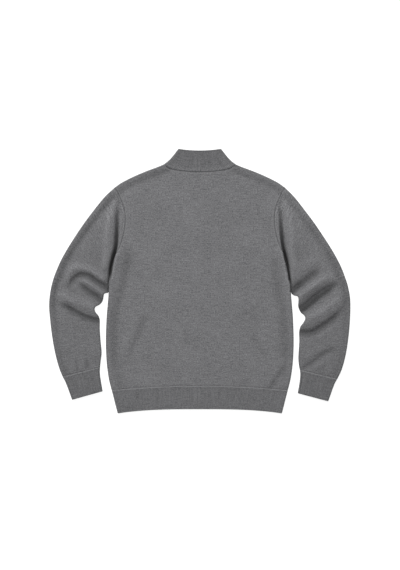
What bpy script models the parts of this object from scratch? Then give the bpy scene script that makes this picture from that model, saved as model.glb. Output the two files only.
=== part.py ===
"""Knit cardigan laid flat on a table, back upwards and collar towards +Y.

Every cut piece is a thin shell: a grid laid over its outer face, and a second one a wall further in.
The body is a back panel over two fronts, the sleeves and cuffs are flattened tubes, and the hem rib
and the collar are bands that stay open at centre front. Seams keep a narrow gap, so that each piece
is its own solid. X runs to the wearer's right, Y to the collar and Z up from the table.
"""

import bpy
import numpy as np

MM = 0.001

# Walls and gaps, in millimetres like every size below.
JERSEY_WALL = 1.8
RIB_WALL = 2.4
COLLAR_WALL = 2.8
SEAM_GAP = 0.4
SIDE_CLEARANCE = 0.6

# How high the cloth lies: its two layers, and the fuller loops where it turns at a folded edge. A
# swelling fold lifts the layer under it by the share UNDERSIDE_LIFT.
BODY_HEIGHT = 7.0
SLEEVE_HEIGHT = 8.6
EDGE_HEIGHT = 10.0
EDGE_REACH = 22.0
UNDERSIDE_LIFT = 0.85

# A folded edge turns round in an arc, with a short upright facet of half height FACET at its middle.
# ROLL_MIDDLE is how far in the arc has turned halfway, as a share of its radius. A point closer to
# the edge than AT_EDGE counts as on it.
FACET = 0.8
EDGE_RADIUS = EDGE_HEIGHT / 2 - FACET
ROLL_MIDDLE = 0.29
AT_EDGE = 0.6

# Within THIN_REACH of a seam's end, where two folded edges meet, the wall thins to THIN_SHARE.
THIN_REACH = 7.0
THIN_SHARE = 0.35

# The cut of the body.
HEM_SEAM_MIDDLE = -300.7
HEM_SEAM_SIDE = -313.3
HEM_MIDDLE = -367.4
HEM_CORNER = -379.4
HEM_HALF_WIDTH = 235.5
NECK_HALF_WIDTH = 103.0
NECK_POINT_HEIGHT = 335.2
BACK_NECK_MIDDLE = 313.3
FRONT_NECK_MIDDLE = 285.0
COLLAR_HALF_WIDTH = 61.0
COLLAR_TOP = 379.4
COLLAR_BACK_MIDDLE = 374.8
COLLAR_FRONT_MIDDLE = 349.0

# How sharply the curved edges bend, as powers of the way out from the centre line. ARMHOLE_END_RISE
# is the armhole's climb along Y for each millimetre of its length at both its ends.
NECK_END_POWER = 8
HEM_POWER = 2.9
ARMHOLE_END_RISE = 0.87

# Body side, from the hem seam up to the underarm: height, distance from the centre line.
BODY_SIDE = [
    (-313.3, 252.6),
    (-285.0, 259.8),
    (-256.0, 264.5),
    (-227.0, 267.5),
    (-184.0, 269.3),
    (-141.0, 268.9),
    (-98.0, 266.8),
    (-69.0, 264.4),
    (-31.0, 261.4),
    (-12.0, 260.7),
    (8.0, 259.2),
    (30.0, 256.2),
    (49.0, 251.8),
    (66.0, 246.2),
    (81.3, 239.9),
]

# Armhole, from the underarm up to the shoulder point: height, distance from the centre line.
ARMHOLE = [
    (81.3, 239.9),
    (92.0, 233.6),
    (108.0, 226.6),
    (130.0, 220.2),
    (158.0, 214.8),
    (186.0, 213.9),
    (212.0, 217.5),
    (234.0, 226.0),
    (252.0, 235.0),
    (269.0, 243.5),
]

# Shoulder, from the head of the sleeve over the shoulder point to the neck point: distance from the
# centre line, height.
SHOULDER = [
    (272.0, 241.2),
    (243.5, 269.0),
    (221.9, 283.8),
    (187.4, 301.0),
    (152.9, 315.6),
    (118.5, 328.4),
    (103.0, 335.2),
]

# Side of the collar, from the neck point to its top corner: height, distance from the centre line.
COLLAR_SIDE = [
    (335.2, 103.0),
    (347.0, 88.2),
    (361.3, 75.4),
    (375.0, 64.8),
    (379.4, 61.0),
]

# Side of the hem rib, from the hem seam to its corner: height, distance from the centre line.
HEM_SIDE = [
    (-313.3, 252.6),
    (-328.0, 248.6),
    (-342.3, 245.0),
    (-356.7, 241.4),
    (-379.4, 235.5),
]

# Sleeves, a row for each section from the armhole to the cuff seam: the outer folded edge, then the
# inner one, as distance from the centre line and height.
SLEEVE_LEFT = [
    (243.5, 269.0, 239.9, 81.3),
    (273.0, 241.5, 246.2, 66.0),
    (303.8, 203.6, 251.8, 49.0),
    (331.0, 167.4, 256.2, 30.0),
    (355.6, 131.2, 259.2, 8.0),
    (378.0, 95.6, 260.7, -12.0),
    (397.4, 61.4, 261.4, -31.0),
    (410.0, 33.2, 268.4, -34.4),
    (418.0, 12.4, 274.4, -37.2),
    (423.6, -6.4, 276.4, -47.0),
    (427.8, -25.0, 280.2, -59.4),
    (430.6, -44.0, 288.5, -68.0),
    (432.0, -62.0, 298.4, -73.6),
    (432.0, -79.0, 301.4, -81.0),
    (430.8, -96.0, 298.0, -90.0),
    (429.0, -113.0, 290.8, -98.8),
    (427.2, -131.0, 287.1, -112.0),
    (423.6, -158.0, 286.8, -140.0),
    (418.6, -188.0, 284.6, -171.0),
    (412.0, -219.0, 281.6, -204.0),
    (403.4, -249.0, 284.2, -228.0),
    (395.0, -270.5, 285.9, -243.0),
    (393.4, -274.4, 286.2, -246.8),
]
SLEEVE_RIGHT = [
    (243.5, 269.0, 239.9, 81.3),
    (271.6, 241.0, 246.2, 66.0),
    (301.0, 203.6, 251.8, 49.0),
    (328.2, 167.4, 256.2, 30.0),
    (353.0, 131.0, 259.2, 8.0),
    (375.2, 96.6, 260.7, -12.0),
    (395.4, 61.4, 261.4, -31.0),
    (408.4, 34.4, 269.0, -40.6),
    (416.8, 11.6, 281.2, -44.6),
    (422.6, -5.0, 282.8, -58.0),
    (427.2, -24.0, 282.6, -73.0),
    (430.6, -43.0, 289.3, -89.0),
    (432.0, -62.0, 299.4, -98.4),
    (432.0, -82.0, 302.3, -107.1),
    (431.4, -101.0, 297.0, -119.0),
    (430.4, -119.0, 288.6, -131.0),
    (429.0, -138.0, 285.2, -147.0),
    (426.2, -164.0, 285.6, -172.0),
    (421.8, -195.0, 284.0, -198.0),
    (415.4, -226.0, 282.9, -222.0),
    (406.4, -256.0, 284.6, -241.0),
    (396.2, -277.2, 286.5, -250.6),
    (394.4, -281.0, 287.0, -254.4),
]

# Cuffs, a row for each section from the cuff seam to the open end, in the same columns.
CUFF_LEFT = [
    (393.4, -274.4, 286.2, -246.8),
    (391.7, -278.3, 286.4, -250.7),
    (386.6, -286.8, 286.8, -262.0),
    (380.0, -303.0, 284.6, -281.0),
    (373.0, -322.0, 281.4, -300.0),
    (366.4, -340.6, 278.7, -316.0),
]
CUFF_RIGHT = [
    (394.4, -281.0, 287.0, -254.4),
    (392.5, -284.9, 287.5, -258.2),
    (387.6, -293.0, 288.4, -268.0),
    (381.6, -308.0, 286.8, -287.0),
    (375.0, -327.0, 283.8, -306.0),
    (368.4, -344.8, 281.0, -321.6),
]

# Largest folds of each sleeve, from its inner to its outer side. A fold runs between two points, bows
# towards the collar, and swells (height above 0) or sinks (below 0) over its width.
# start x, start y, end x, end y, bow, width, height
FOLDS_LEFT = [
    (249.0, 224.0, 274.0, 128.0, -3.0, 13.0, 4.5),
    (262.0, 12.0, 372.0, 44.0, 22.0, 13.0, 5.5),
    (263.5, -13.8, 366.9, 10.1, 22.0, 9.0, -3.0),
    (277.0, -36.0, 366.0, -8.0, 14.0, 11.0, 7.0),
    (282.5, -52.0, 346.0, 2.0, 0.0, 9.0, -3.0),
    (290.0, -70.0, 402.0, -26.0, 2.0, 20.0, 6.5),
    (289.6, -108.3, 394.4, -64.3, -2.0, 10.0, -3.2),
    (292.0, -132.0, 404.0, -92.0, -4.0, 16.0, 4.0),
]
FOLDS_RIGHT = [
    (249.0, 222.0, 272.0, 120.0, -3.0, 13.0, 4.5),
    (264.0, 0.0, 336.0, 66.0, 4.0, 15.0, 5.0),
    (262.4, -28.1, 335.0, 36.2, 3.0, 9.0, -2.6),
    (276.0, -50.0, 358.0, 14.0, 3.0, 14.0, 7.0),
    (287.4, -77.0, 370.6, -11.5, 2.0, 9.0, -3.3),
    (296.0, -112.0, 402.0, -42.0, -4.0, 20.0, 7.0),
    (296.6, -144.2, 410.9, -70.4, -11.0, 10.0, -3.2),
    (300.0, -172.0, 414.0, -104.0, -10.0, 18.0, 4.0),
]

# Columns across half of a body panel, as shares of its half width, then those that end at the neck
# seam, as shares of the neck's half width.
BODY_COLUMNS = [0.91, 0.82, 0.70, 0.56]
NECK_COLUMNS = [0.86, 0.70, 0.50, 0.28, 0.08]

# The columns of a body panel and of a sleeve's edges that roll round, and where they lie where the
# panel ends in a seam instead of a fold, as shares of the roll's radius.
ROLLED_COLUMNS = 4
SEAM_STEPS = np.array([0, 0.33, 0.66, 1])

# Columns across a sleeve that lie between its two rolled edges, its rows that lie against the body,
# and the rows over which it leaves the armhole's curve and reaches its own height.
SLEEVE_SHARES = np.linspace(0.14, 0.86, 6)
ROWS_BY_BODY = slice(1, 7)
ARMHOLE_ROWS = 4
RISING_ROWS = 3

# Rows of the hem rib and of the collar, seam and end included.
HEM_ROWS = 4
COLLAR_ROWS = 5

JERSEY_COLOUR = (0.165, 0.165, 0.170, 1.0)
RIB_COLOUR = (0.140, 0.140, 0.146, 1.0)


def smooth_curve(rows, at):
    """Cubic through table rows of (place, value), its slope at a row the chord over its neighbours."""
    places, values = np.array(sorted(rows), dtype=float).T
    slopes = np.gradient(values, places)
    at = np.clip(at, places[0], places[-1])
    low = np.clip(np.searchsorted(places, at) - 1, 0, len(places) - 2)
    span = places[low + 1] - places[low]
    t = (at - places[low]) / span
    rise = values[low] * (1 + 2 * t) * (1 - t) ** 2 + values[low + 1] * t * t * (3 - 2 * t)
    return rise + span * (slopes[low] * t * (1 - t) ** 2 + slopes[low + 1] * t * t * (t - 1))


def way_to_line(x, y, line):
    """Distance from each point to a line of straight runs, and the level direction towards it.

    Close to the line, that is the left of the line's travel, which is the side away from the cloth.
    """
    starts = np.array(line[:-1])
    runs = np.array(line[1:]) - starts
    away_x = x[..., None] - starts[:, 0]
    away_y = y[..., None] - starts[:, 1]
    share = (away_x * runs[:, 0] + away_y * runs[:, 1]) / (runs ** 2).sum(axis=1)
    share = np.clip(share, 0, 1)
    to_x = share * runs[:, 0] - away_x
    to_y = share * runs[:, 1] - away_y
    gaps = np.hypot(to_x, to_y)
    nearest = gaps.argmin(axis=-1)
    gap = np.take_along_axis(gaps, nearest[..., None], axis=-1)[..., 0]
    toward_x = np.take_along_axis(to_x, nearest[..., None], axis=-1)[..., 0]
    toward_y = np.take_along_axis(to_y, nearest[..., None], axis=-1)[..., 0]
    left_x = -runs[nearest, 1]
    left_y = runs[nearest, 0]
    toward_x = np.where(gap < AT_EDGE, left_x, toward_x)
    toward_y = np.where(gap < AT_EDGE, left_y, toward_y)
    length = np.hypot(toward_x, toward_y)
    return np.where(gap < AT_EDGE, 0, gap), toward_x / length, toward_y / length


def fold_heights(x, y, folds):
    """Sum of the folds: each a bell across its bowed line, tapering out towards both its ends."""
    total = np.zeros_like(x)
    for start_x, start_y, end_x, end_y, bow, width, height in folds:
        run_x = end_x - start_x
        run_y = end_y - start_y
        length = np.hypot(run_x, run_y)
        along = ((x - start_x) * run_x + (y - start_y) * run_y) / length ** 2
        across = ((y - start_y) * run_x - (x - start_x) * run_y) / length
        across = across - 4 * bow * along * (1 - along)
        taper = np.clip(1 - (2 * along - 1) ** 4, 0, None) * (np.abs(along - 0.5) < 0.5)
        total += height * taper * np.exp(-(across / width) ** 2)
    return total


def wall_share(x, y):
    """Part of the full wall that each point has: it thins where folded edges meet at a seam's end."""
    corners = [ARMHOLE[0][::-1], (NECK_HALF_WIDTH, NECK_POINT_HEIGHT)]
    away = np.min([np.hypot(x - corner_x, y - corner_y) for corner_x, corner_y in corners], axis=0)
    return np.clip(away / THIN_REACH, THIN_SHARE, 1)


def lay(x, y, edges, base, folds=()):
    """Upper and lower face of the flattened cloth, rolled round where it meets a folded edge.

    Each face is a grid of six numbers: a point, and the way out of the cloth there, as a share of the
    wall.
    """
    ways = [way_to_line(x, y, line) for line in edges]
    nearest = np.argmin([way[0] for way in ways], axis=0)
    distance, toward_x, toward_y = np.choose(nearest, np.stack(ways, axis=1).swapaxes(0, 1))
    swell = fold_heights(x, y, folds)
    upper = base + (EDGE_HEIGHT - base) * np.exp(-(distance / EDGE_REACH) ** 2) + swell
    lower = UNDERSIDE_LIFT * np.clip(swell, 0, None)
    middle = (upper + lower) / 2
    radius = (upper - lower) / 2 - FACET
    turn = np.clip(1 - distance / radius, 0, 1)
    rise = np.sqrt(1 - turn ** 2)
    half = FACET + radius * rise
    wall = wall_share(x, y)
    out_x = turn * toward_x * wall
    out_y = turn * toward_y * wall
    over = [x, y, middle + half, out_x, out_y, rise * wall]
    under = [x, y, middle - half, out_x, out_y, -rise * wall]
    return np.stack(over, axis=-1), np.stack(under, axis=-1)


def armhole_points():
    """Armhole from underarm to shoulder point, close together where the cloth rolls at both ends."""
    heights = np.array([row[0] for row in ARMHOLE[2:-2]])
    climb = EDGE_RADIUS * ARMHOLE_END_RISE
    low = ARMHOLE[0][0] + climb * np.array([0, 1])
    high = ARMHOLE[-1][0] - climb * np.array([1, ROLL_MIDDLE, 0])
    y = np.concatenate([low, heights, high])
    return smooth_curve([(row[0], row[1]) for row in ARMHOLE], y), y


def outer_fold(sleeve, cuff):
    """Folded outer edge from the neck point over the shoulder and down the sleeve to the cuff."""
    shoulder = [(x, y) for x, y in reversed(SHOULDER[2:])]
    return shoulder + [row[:2] for row in sleeve] + [row[:2] for row in cuff[1:]]


def collar_fold():
    """Folded side of the collar, from its top corner down to the neck point."""
    return [(x, y) for y, x in reversed(COLLAR_SIDE)]


def inner_fold(sleeve, cuff):
    """Folded inner edge of a sleeve, from the end of its cuff up to the underarm."""
    rows = np.array([row[2:] for row in sleeve] + [row[2:] for row in cuff[1:]])
    rows[ROWS_BY_BODY, 0] += SIDE_CLEARANCE
    return rows[::-1]


def side_fold():
    """Folded side edge from the underarm down to the corner of the hem."""
    side = [(x, y) for y, x in reversed(BODY_SIDE)]
    return side + [(x, y) for y, x in HEM_SIDE[1:]]


def hem_seam(x):
    """Height of the seam between body and hem rib."""
    return HEM_SEAM_MIDDLE + (HEM_SEAM_SIDE - HEM_SEAM_MIDDLE) * (x / BODY_SIDE[0][1]) ** 2


def neck_seam(x, middle):
    """Height of the neck seam, level at its middle and steepening to the neck points."""
    share = np.clip(np.abs(x) / NECK_HALF_WIDTH, 0, 1)
    return middle + (NECK_POINT_HEIGHT - middle) * (share ** 2 + share ** NECK_END_POWER) / 2


def panel_shares():
    """Columns of a body panel inside its rolled edge, as shares of its half width."""
    roll = NECK_HALF_WIDTH - EDGE_RADIUS * np.array([0, 1])
    neck = NECK_HALF_WIDTH * np.array(NECK_COLUMNS)
    return np.concatenate([BODY_COLUMNS, np.concatenate([roll, neck]) / ARMHOLE[-1][1]])


def body_half(neck_middle):
    """Half a body panel seen from above: x and y for rows from hem to shoulder, columns inwards."""
    arm_x, arm_y = armhole_points()
    side_y = np.array([row[0] for row in BODY_SIDE])
    side_x = smooth_curve(BODY_SIDE, side_y)
    edge_x = np.concatenate([side_x, arm_x[1:], arm_x[-1:]])
    edge_y = np.concatenate([side_y, arm_y[1:], arm_y[-1:]])
    row_count = len(edge_x)
    underarm = len(side_y) - 1

    seamed = (np.arange(row_count) > underarm)[:, None]
    insets = EDGE_RADIUS * np.where(seamed, SEAM_STEPS, [0, 0, ROLL_MIDDLE, 1])

    x = np.hstack([edge_x[:, None] - insets, edge_x[:, None] * panel_shares()])

    top_x = x[-1]
    shoulder_y = smooth_curve(SHOULDER, top_x)
    in_neck = top_x < NECK_HALF_WIDTH - SEAM_GAP / 2
    top_y = np.where(in_neck, neck_seam(top_x, neck_middle), shoulder_y)
    bottom_y = hem_seam(x[0])
    up = ((edge_y - edge_y[0]) / (edge_y[-1] - edge_y[0]))[:, None]
    y = (1 - up) * bottom_y + up * top_y
    above = np.clip((edge_y - edge_y[underarm]) / (edge_y[-1] - edge_y[underarm]), 0, 1)[:, None]
    rise = (1 - up) * (bottom_y - bottom_y[0]) + above * (top_y - top_y[0])
    y[:, :ROLLED_COLUMNS] = (edge_y[:, None] + rise)[:, :ROLLED_COLUMNS]
    spaced = top_y - EDGE_RADIUS * SEAM_STEPS[::-1, None]
    y[-ROLLED_COLUMNS:, in_neck] = spaced[:, in_neck]
    return x, y, underarm, in_neck


def panel(neck_middle, upper):
    """Half a body panel in space, its folded edges ending half a seam gap from mid height."""
    x, y, underarm, in_neck = body_half(neck_middle)
    over, under = lay(x, y, [outer_fold(SLEEVE_LEFT, CUFF_LEFT), side_fold()], BODY_HEIGHT)
    grid = over if upper else under
    parting = SEAM_GAP / 2 if upper else -SEAM_GAP / 2
    grid[: underarm + 1, 0, 2] = EDGE_HEIGHT / 2 + parting
    grid[-1, ~in_neck, 2] = EDGE_HEIGHT / 2 + parting
    return grid


def mirrored(grid):
    """The same sheet on the other side of the centre line, its columns in reverse order."""
    return grid[:, ::-1] * np.array([-1, 1, 1, -1, 1, 1])


def sleeve_grid(sleeve, cuff, folds):
    """Sleeve as rings from the armhole to the cuff seam, over the top and back underneath."""
    rows = np.array(sleeve)
    rows[ROWS_BY_BODY, 2] += SIDE_CLEARANCE
    x, y = across_points(rows[:, :2], rows[:, 2:])
    arm_x, arm_y = armhole_points()
    arm_x = np.insert(arm_x, 1, arm_x[0] + ROLL_MIDDLE * (arm_x[1] - arm_x[0]))
    arm_y = np.insert(arm_y, 1, arm_y[0] + ROLL_MIDDLE * (arm_y[1] - arm_y[0]))
    fade = np.clip(1 - np.arange(len(rows)) / ARMHOLE_ROWS, 0, 1)[:, None] ** 2
    x = x + fade * (arm_x[::-1] - x[0])
    y = y + fade * (arm_y[::-1] - y[0])
    rise = np.clip(np.arange(len(rows)) / RISING_ROWS, 0, 1)[:, None]
    base = BODY_HEIGHT + (SLEEVE_HEIGHT - BODY_HEIGHT) * rise
    over, under = lay(x, y, [outer_fold(sleeve, cuff), inner_fold(sleeve, cuff)], base, folds)
    for face in (over, under):
        face[0, -2] = (1 - ROLL_MIDDLE) * face[0, -1] + ROLL_MIDDLE * face[0, -3]
    ring = np.concatenate([over, under[:, ::-1]], axis=1)
    ring[0, :, 0] += SEAM_GAP
    return ring


def across_points(outer, inner):
    """Points of each section from its outer to its inner edge, close together at both rolled ends."""
    run = inner - outer
    width = np.hypot(run[:, 0], run[:, 1])[:, None]
    roll = EDGE_RADIUS * np.array([0, ROLL_MIDDLE, 1]) / width
    between = np.tile(SLEEVE_SHARES, (len(outer), 1))
    share = np.hstack([roll, between, 1 - roll[:, ::-1]])
    return outer[:, :1] + share * run[:, :1], outer[:, 1:] + share * run[:, 1:]


def cuff_grid(sleeve, cuff):
    """Cuff as rings from the cuff seam to its open end."""
    rows = np.array(cuff)
    x, y = across_points(rows[:, :2], rows[:, 2:])
    over, under = lay(x, y, [outer_fold(sleeve, cuff), inner_fold(sleeve, cuff)], SLEEVE_HEIGHT)
    ring = np.concatenate([over, under[:, ::-1]], axis=1)
    ring[0, :, 1] -= SEAM_GAP
    return ring


def band_half(fold, half_widths, shares, near, far, upper):
    """Half of one layer of a rib band, its rows from near(x) to far(x) and its columns inwards.

    The first row stands a seam gap off the seam, square to it.
    """
    steps = np.linspace(0, 1, len(half_widths))[:, None]
    half_widths = half_widths[:, None]
    roll = EDGE_RADIUS * np.array([0, ROLL_MIDDLE, 1])
    share = np.hstack([1 - roll / half_widths, np.tile(shares, (len(half_widths), 1))])
    x = share * half_widths
    y = (1 - steps) * near(share * half_widths[0]) + steps * far(share * half_widths[-1])
    over, under = lay(x, y, [fold], BODY_HEIGHT)
    grid = over if upper else under
    slope = (near(x[0]) - near(x[0] - 0.1)) / 0.1
    off_seam = SEAM_GAP * np.sign(y[-1, 0] - y[0, 0]) / np.hypot(slope, 1)
    grid[0, :, 0] -= off_seam * slope
    grid[0, :, 1] += off_seam
    return grid


def band(fold, half_widths, shares, near, far):
    """Rib band from centre front under one side, over the back and under the other side.

    Its rows run from near to far, each a pair of curves: one for the back, one for the front.
    """
    over = band_half(fold, half_widths, shares, near[0], far[0], True)
    under = band_half(fold, half_widths, np.append(shares, 0), near[1], far[1], False)
    under[:, -1, 0] = SEAM_GAP / 2
    right = under[:, ::-1]
    left = mirrored(under)[:, ::-1]
    return np.concatenate([right, over, mirrored(over), left], axis=1)


def knit_material(name, colour):
    """Matt knit in one plain colour."""
    material = bpy.data.materials.new(name + "_knit")
    material.use_nodes = True
    shader = material.node_tree.nodes["Principled BSDF"]
    shader.inputs["Base Color"].default_value = colour
    shader.inputs["Roughness"].default_value = 0.9
    shader.inputs["Metallic"].default_value = 0.0
    return material


def split_quads(points, number):
    """Triangles of a grid of numbered points, each of its quads split across the shorter way."""
    near, across, far, along = number[:-1, :-1], number[:-1, 1:], number[1:, 1:], number[1:, :-1]
    one_way = np.linalg.norm(points[near] - points[far], axis=-1)
    other_way = np.linalg.norm(points[across] - points[along], axis=-1)
    shorter = (one_way <= other_way)[..., None]
    first = np.where(shorter, np.stack([near, across, far], -1), np.stack([near, across, along], -1))
    second = np.where(shorter, np.stack([near, far, along], -1), np.stack([across, far, along], -1))
    return np.concatenate([first.reshape(-1, 3), second.reshape(-1, 3)])


def add_shell(collection, name, grid, wall, colour, facing_down=False, closed=False):
    """Object from the grid of its outer face, lofted to an inner face one wall further in."""
    rows, columns = grid.shape[:2]
    outer = grid[..., :3].reshape(-1, 3)
    inner = outer - wall * grid[..., 3:].reshape(-1, 3)
    count = rows * columns
    number = np.arange(count).reshape(rows, columns)
    if closed:
        number = np.hstack([number, number[:, :1]])
    rims = [number[0, ::-1], number[-1]]
    if not closed:
        rims += [number[:, 0], number[::-1, -1]]
    sheet = split_quads(outer, number)
    faces = sheet.tolist() + (sheet[:, ::-1] + count).tolist()
    for rim in rims:
        strip = [rim[:-1], rim[1:], rim[1:] + count, rim[:-1] + count]
        faces += np.stack(strip, axis=-1).tolist()
    if facing_down:
        faces = [face[::-1] for face in faces]
    mesh = bpy.data.meshes.new(name)
    mesh.from_pydata((np.concatenate([outer, inner]) * MM).tolist(), [], faces)
    mesh.materials.append(knit_material(name, colour))
    mesh.shade_smooth()
    shell = bpy.data.objects.new(name, mesh)
    collection.objects.link(shell)


def build_body(collection):
    """Back panel and the two fronts under it."""
    back_half = panel(BACK_NECK_MIDDLE, upper=True)
    back = np.concatenate([mirrored(back_half)[:, ::-1], back_half[:, ::-1]], axis=1)
    add_shell(collection, "back", back, JERSEY_WALL, JERSEY_COLOUR)
    front = panel(FRONT_NECK_MIDDLE, upper=False)
    centre = front[:, -1:].copy()
    centre[:, :, 0] = SEAM_GAP / 2
    front = np.concatenate([front, centre], axis=1)
    add_shell(collection, "front_right", front, JERSEY_WALL, JERSEY_COLOUR)
    add_shell(collection, "front_left", mirrored(front), JERSEY_WALL, JERSEY_COLOUR)


def build_sleeves(collection):
    """Sleeves and their cuffs, the left one mirrored to its side."""
    right = sleeve_grid(SLEEVE_RIGHT, CUFF_RIGHT, FOLDS_RIGHT)
    left = mirrored(sleeve_grid(SLEEVE_LEFT, CUFF_LEFT, FOLDS_LEFT))
    right_cuff = cuff_grid(SLEEVE_RIGHT, CUFF_RIGHT)
    left_cuff = mirrored(cuff_grid(SLEEVE_LEFT, CUFF_LEFT))
    add_shell(collection, "sleeve_right", right, JERSEY_WALL, JERSEY_COLOUR, closed=True)
    add_shell(collection, "sleeve_left", left, JERSEY_WALL, JERSEY_COLOUR, closed=True)
    add_shell(collection, "cuff_right", right_cuff, RIB_WALL, RIB_COLOUR, closed=True)
    add_shell(collection, "cuff_left", left_cuff, RIB_WALL, RIB_COLOUR, closed=True)


def build_bands(collection):
    """Hem rib and collar."""

    def hem_end(x):
        share = np.abs(x) / HEM_HALF_WIDTH
        return HEM_MIDDLE + (HEM_CORNER - HEM_MIDDLE) * share ** HEM_POWER

    def collar_start(x):
        return neck_seam(x, BACK_NECK_MIDDLE)

    def collar_front_start(x):
        return neck_seam(x, FRONT_NECK_MIDDLE)

    def collar_end(x):
        share = np.abs(x) / COLLAR_HALF_WIDTH
        return COLLAR_BACK_MIDDLE + (COLLAR_TOP - COLLAR_BACK_MIDDLE) * share ** 2

    def collar_front_end(x):
        share = np.abs(x) / COLLAR_HALF_WIDTH
        return COLLAR_FRONT_MIDDLE + (COLLAR_TOP - COLLAR_FRONT_MIDDLE) * share ** 2

    hem_widths = smooth_curve(HEM_SIDE, np.linspace(HEM_SEAM_SIDE, HEM_CORNER, HEM_ROWS))
    hem = band(side_fold(), hem_widths, panel_shares(), [hem_seam, hem_seam], [hem_end, hem_end])
    add_shell(collection, "hem_rib", hem, RIB_WALL, RIB_COLOUR)
    collar_heights = np.linspace(NECK_POINT_HEIGHT, COLLAR_TOP, COLLAR_ROWS)
    collar_widths = smooth_curve(COLLAR_SIDE, collar_heights)
    near = [collar_start, collar_front_start]
    far = [collar_end, collar_front_end]
    collar = band(collar_fold(), collar_widths, NECK_COLUMNS, near, far)
    add_shell(collection, "collar", collar, COLLAR_WALL, RIB_COLOUR, facing_down=True)


def main():
    for item in list(bpy.data.objects):
        bpy.data.objects.remove(item, do_unlink=True)
    collection = bpy.data.collections.new("knit_cardigan")
    bpy.context.scene.collection.children.link(collection)
    build_body(collection)
    build_sleeves(collection)
    build_bands(collection)


main()
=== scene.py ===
# %% [markdown]
# # A knit cardigan, laid flat with its back upwards
#
# The real garment is fine wool jersey: a back and two fronts, two tube sleeves, and a rib at the
# cuffs, the hem and the collar, linked loop by loop. Laid flat it is a thin cushion of two layers,
# fuller at its folded edges, and creased at the elbows and beside the armholes.
#
# A cloth simulation could drape it, but its creases would fall where the solver likes. Here every
# piece is a height laid over its flat outline, worked out with numpy on a fine grid, so that each
# crease lies where it should. The knit itself is in the shaders.

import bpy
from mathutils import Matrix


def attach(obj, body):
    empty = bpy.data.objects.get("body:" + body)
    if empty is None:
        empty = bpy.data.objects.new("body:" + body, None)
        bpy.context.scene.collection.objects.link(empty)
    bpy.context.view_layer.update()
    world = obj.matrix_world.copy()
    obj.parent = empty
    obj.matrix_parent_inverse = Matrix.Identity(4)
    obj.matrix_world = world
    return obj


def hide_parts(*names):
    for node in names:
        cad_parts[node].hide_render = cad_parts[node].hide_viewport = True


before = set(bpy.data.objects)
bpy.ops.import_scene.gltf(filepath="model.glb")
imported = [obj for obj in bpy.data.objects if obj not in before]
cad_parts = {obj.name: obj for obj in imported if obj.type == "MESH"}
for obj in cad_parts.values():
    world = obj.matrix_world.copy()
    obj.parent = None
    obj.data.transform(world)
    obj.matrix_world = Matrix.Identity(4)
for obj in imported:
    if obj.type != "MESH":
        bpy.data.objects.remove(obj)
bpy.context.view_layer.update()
print("CAD nodes:", sorted(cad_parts))

import bpy
import numpy as np

MM = 0.001

# %% [markdown]
# ## The cut
#
# A maker writes a cut down as a few measured rows. Heights run along Y from the garment's middle and
# widths out from its centre line, in millimetres. The halves differ only in how the sleeves lie. A
# smooth cubic runs through each table's rows, with far fewer numbers than a traced outline.

# %% The cut of the body
HEM_SEAM_MIDDLE, HEM_SEAM_SIDE = -300.7, -313.3
HEM_MIDDLE, HEM_CORNER, HEM_HALF, HEM_POWER = -367.4, -379.4, 235.5, 2.9
NECK_HALF, NECK_POINT = 103, 335.2
BACK_NECK, FRONT_NECK, NECK_END_POWER = 313.3, 285, 8
COLLAR_HALF, COLLAR_TOP = 61, 379.4
COLLAR_BACK, COLLAR_FRONT = 374.8, 349

# Height, half width.
BODY_SIDE = [
    (HEM_SEAM_SIDE, 252.6), (-285, 259.8), (-256, 264.5), (-227, 267.5), (-184, 269.3), (-141, 268.9),
    (-98, 266.8), (-69, 264.4), (-31, 261.4), (-12, 260.7), (8, 259.2), (30, 256.2), (49, 251.8),
    (66, 246.2), (81.3, 239.9),
]
ARMHOLE = [
    BODY_SIDE[-1], (92, 233.6), (108, 226.6), (130, 220.2), (158, 214.8), (186, 213.9), (212, 217.5),
    (234, 226), (252, 235), (269, 243.5),
]
SHOULDER = [ARMHOLE[-1], (283.8, 221.9), (301, 187.4), (315.6, 152.9), (328.4, 118.5),
            (NECK_POINT, NECK_HALF)]
COLLAR_SIDE = [SHOULDER[-1], (347, 88.2), (361.3, 75.4), (375, 64.8), (COLLAR_TOP, COLLAR_HALF)]
HEM_SIDE = [BODY_SIDE[0], (-328, 248.6), (-342.3, 245), (-356.7, 241.4), (HEM_CORNER, HEM_HALF)]

# %% The cut of the sleeves and cuffs
def by_body(outer):
    """The outer ends, with the body's side from the underarm down."""
    return [(*point, *side[::-1]) for point, side in zip(outer, BODY_SIDE[::-1])]


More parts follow.
